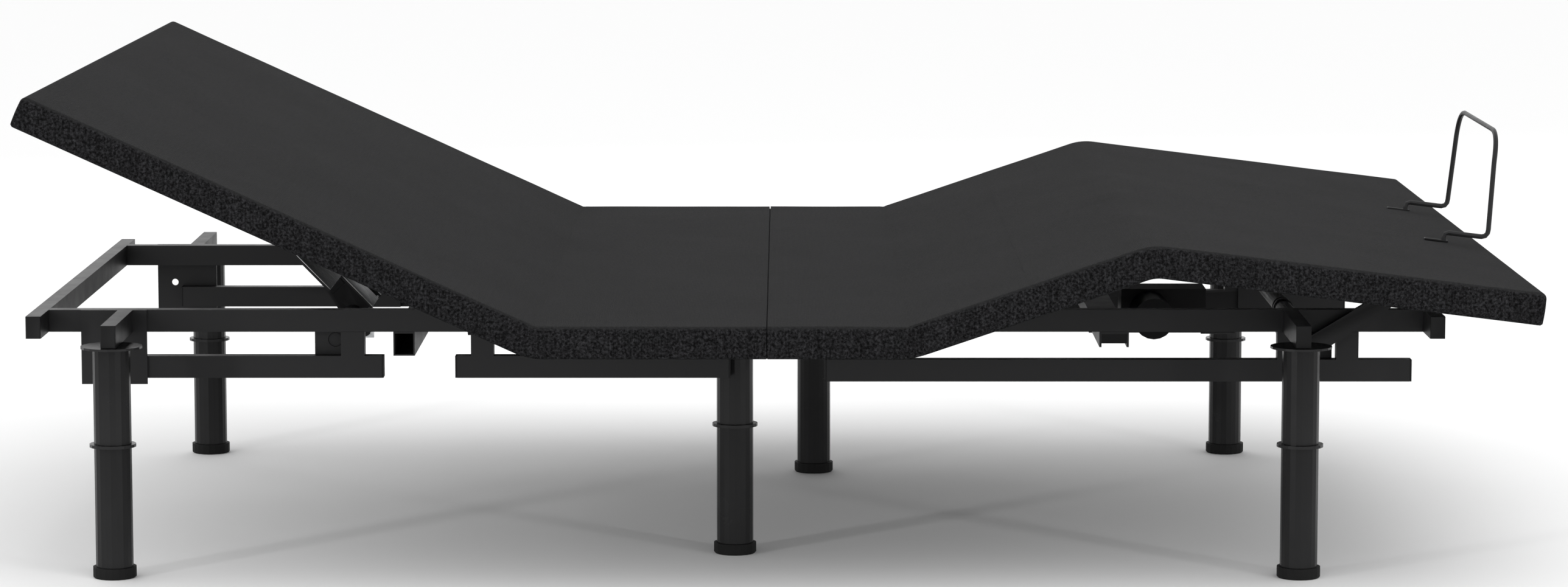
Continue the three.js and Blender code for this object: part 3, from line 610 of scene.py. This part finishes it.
def slab(name, low, high, material, body, edge=0.0006, dish=None, place=None):
    """A moulded or pressed plate with rounded edges. The face on the given axis and side, if
    any, is dished. place moves each point to where it goes."""
    made = bmesh.new()
    bmesh.ops.create_cube(made, size=1)
    for vert in made.verts:
        vert.co = Vector([low[i] if vert.co[i] < 0 else high[i] for i in range(3)])
    bmesh.ops.bevel(made, geom=list(made.edges), offset=edge, segments=3, profile=0.6, affect="EDGES")
    if dish:
        axis, side = dish
        face = max(made.faces, key=lambda f: f.normal[axis] * side * f.calc_area())
        bmesh.ops.inset_individual(made, faces=[face], thickness=0.003, depth=-0.0008)
    if place:
        for vert in made.verts:
            vert.co = place(vert.co)
    bmesh.ops.recalc_face_normals(made, faces=made.faces)
    mesh = bpy.data.meshes.new(name)
    made.to_mesh(mesh)
    made.free()
    mesh.materials.append(material)
    mesh.polygons.foreach_set("use_smooth", [True] * len(mesh.polygons))
    mesh.set_sharp_from_angle(angle=math.radians(38))
    piece = bpy.data.objects.new(name, mesh)
    bpy.context.scene.collection.objects.link(piece)
    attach(piece, body)
    return piece


def tube_cap(name, end, axis, side, top):
    """The plastic cap on a tube's end. end is the tube's end, on its middle line."""
    thickness = 0.0025
    low = [end[0] - TUBE_HALF_WIDTH, end[1] - TUBE_HALF_WIDTH, top - TUBE_HEIGHT]
    high = [end[0] + TUBE_HALF_WIDTH, end[1] + TUBE_HALF_WIDTH, top]
    low[axis], high[axis] = sorted((end[axis], end[axis] + side * thickness))
    slab(name, low, high, PLASTIC, "frame", dish=(axis, side))


def add_tube_caps():
    for node_name in ("head_cross_tube", "foot_cross_tube"):
        low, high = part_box(node_name)
        middle = (low[0] + high[0]) / 2
        tube_cap(f"{node_name}_cap_near", (middle, low[1]), 1, -1, RAIL_TOP)
        tube_cap(f"{node_name}_cap_far", (middle, high[1]), 1, 1, RAIL_TOP)
    for end_name in ("head", "foot"):
        for side_name, side in (("near", -1), ("far", 1)):
            arm_low, arm_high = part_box(f"leg_arm_{end_name}_{side_name}")
            leg_low, leg_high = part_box(f"leg_upper_{end_name}_{side_name}")
            end = arm_low[1] if side < 0 else arm_high[1]
            middle = (leg_low[0] + leg_high[0]) / 2
            tube_cap(f"leg_arm_{end_name}_{side_name}_cap", (middle, end), 1, side, RAIL_TOP)
    lower_tubes = (
        ("head_lower_tube_near_front", -1),
        ("head_lower_tube_near_rear", -1),
        ("head_lower_tube_far", 1),
        ("foot_lower_tube_near", -1),
        ("foot_lower_tube_far", 1),
    )
    for node_name, side in lower_tubes:
        low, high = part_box(node_name)
        top = low[2] + TUBE_HEIGHT
        tube_cap(f"{node_name}_cap_start", (low[0], side * RAIL_MIDDLE_Y), 0, -1, top)
        tube_cap(f"{node_name}_cap_end", (high[0], side * RAIL_MIDDLE_Y), 0, 1, top)


def on_tie_plate(point):
    """x runs up the head lift's tie plate from the pivot, and z stands off its outer face."""
    up = Vector((-math.cos(TIE_PLATE_SLOPE), 0, math.sin(TIE_PLATE_SLOPE)))
    out = Vector((math.sin(TIE_PLATE_SLOPE), 0, math.cos(TIE_PLATE_SLOPE)))
    return HEAD_LIFT + up * point.x + Vector((0, point.y, 0)) + out * (TIE_PLATE_OFFSET + point.z)


def add_tie_plate_reflection_sheets():
    """Bright zinc sheets on the tie plate and on the two strips below it: a painted reflection, standing
    in for the white surroundings that the black coat reflects at a grazing angle.
    """
    thickness = (0.0002, 0.0012)
    spans = {
        "tie_plate_reflection_sheet": ((0.0515, -0.2905), (0.1495, 0.2905)),
        "tie_strip_reflection_sheet_near": ((-0.011, -0.1185), (0.0505, -0.0225)),
        "tie_strip_reflection_sheet_far": ((-0.011, 0.0225), (0.0505, 0.1185)),
    }
    for name, (start, end) in spans.items():
        low = (*start, thickness[0])
        high = (*end, thickness[1])
        slab(name, low, high, ZINC, "head_lift", edge=0.0003, place=on_tie_plate)


def on_calf(point):
    """x runs along the calf section from the knee hinge, and z stands square to it."""
    hinge_x = THIGH_HINGE + THIGH * math.cos(THIGH_TILT) + KNEE_DEPTH * math.sin(THIGH_TILT)
    hinge_z = DECK_TOP + THIGH * math.sin(THIGH_TILT) - KNEE_DEPTH * math.cos(THIGH_TILT)
    along = Vector((math.cos(CALF_TILT), 0, math.sin(CALF_TILT)))
    up = Vector((-math.sin(CALF_TILT), 0, math.cos(CALF_TILT)))
    return Vector((hinge_x, point.y, hinge_z)) + along * point.x + up * point.z


def add_retainer_sockets_and_shadows():
    """The slotted plates in the deck that the retainer's toes stand in. They also stand in for the rods'
    shadows on the deck, a painted shadow, which is why they reach 27 mm back from the toe toward the knee.
    """
    for side_name, side in (("near", -1), ("far", 1)):
        low = (TOE.x - 0.027, side * TOE.y - 0.0055, KNEE_DEPTH - 0.001)
        high = (TOE.x + 0.006, side * TOE.y + 0.0055, KNEE_DEPTH + 0.0018)
        name = f"retainer_socket_{side_name}"
        slab(name, low, high, PLASTIC, "calf", edge=0.0011, dish=(2, 1), place=on_calf)


add_tube_caps()
add_tie_plate_reflection_sheets()
add_retainer_sockets_and_shadows()
# Painted shade: a dark strip of dust cloth standing in the gap between the two seat halves, so the gap
# shows dark instead of the backdrop behind it.
slab(
    "seat_split_shade_strip",
    (SPLIT - 0.00068, -HALF_WIDTH + 0.004, DECK_TOP - SKIRT + 0.0005),
    (SPLIT + 0.00068, HALF_WIDTH - 0.004, DECK_TOP - 0.004),
    DUST,
    "frame",
    edge=0.0001,
)


# ---------------------------------------------------------------- stage, light, camera
def build_stage():
    mesh = bpy.data.meshes.new("floor")
    size = 14.0
    back = size * 2
    points = [(-size, -size, 0), (size, -size, 0), (size, back, 0), (-size, back, 0)]
    mesh.from_pydata(points, [], [(0, 1, 2, 3)])
    floor = bpy.data.objects.new("floor", mesh)
    bpy.context.scene.collection.objects.link(floor)
    material, tree, shader = new_material("pale_floor")
    shader.inputs["Base Color"].default_value = (0.86, 0.86, 0.86, 1)
    shader.inputs["Roughness"].default_value = 0.85
    shader.inputs["Specular IOR Level"].default_value = 0.1
    mesh.materials.append(material)


def area_light(name, place, target, size, power):
    data = bpy.data.lights.new(name, "AREA")
    data.shape = "RECTANGLE"
    data.size, data.size_y = size
    data.energy = power
    obj = bpy.data.objects.new(name, data)
    bpy.context.scene.collection.objects.link(obj)
    obj.location = place
    obj.rotation_euler = (Vector(target) - Vector(place)).to_track_quat("-Z", "Y").to_euler()


build_stage()
bpy.context.scene.view_settings.view_transform = "Standard"
world = bpy.data.worlds.new("studio")
bpy.context.scene.world = world
world.use_nodes = True
background = world.node_tree.nodes["Background"]
background.inputs[0].default_value = (1, 1, 1, 1)
background.inputs[1].default_value = 1.12
area_light("key_light", (1.5, -2.5, 4.2), (0, 0, 0.3), (4.0, 3.0), 55)
area_light("back_light", (-1.0, 4.5, 2.6), (0, 0, 0.4), (5.0, 2.0), 40)
area_light("left_strip", (-4.2, -4.6, 1.1), (0, 0, 0.25), (0.35, 2.6), 90)
area_light("right_strip", (4.2, -4.6, 1.1), (0, 0, 0.25), (0.35, 2.6), 65)

camera_data = bpy.data.cameras.new("camera")
camera = bpy.data.objects.new("camera", camera_data)
bpy.context.scene.collection.objects.link(camera)
camera_data.sensor_width = 36.0
camera_data.sensor_fit = "HORIZONTAL"
camera_data.lens = 111.74
camera_data.clip_end = 60.0
camera.location = (0.009, -6.939, 1.1518)
camera.rotation_euler = (math.radians(90 - 6.881), 0, 0)
bpy.context.scene.camera = camera
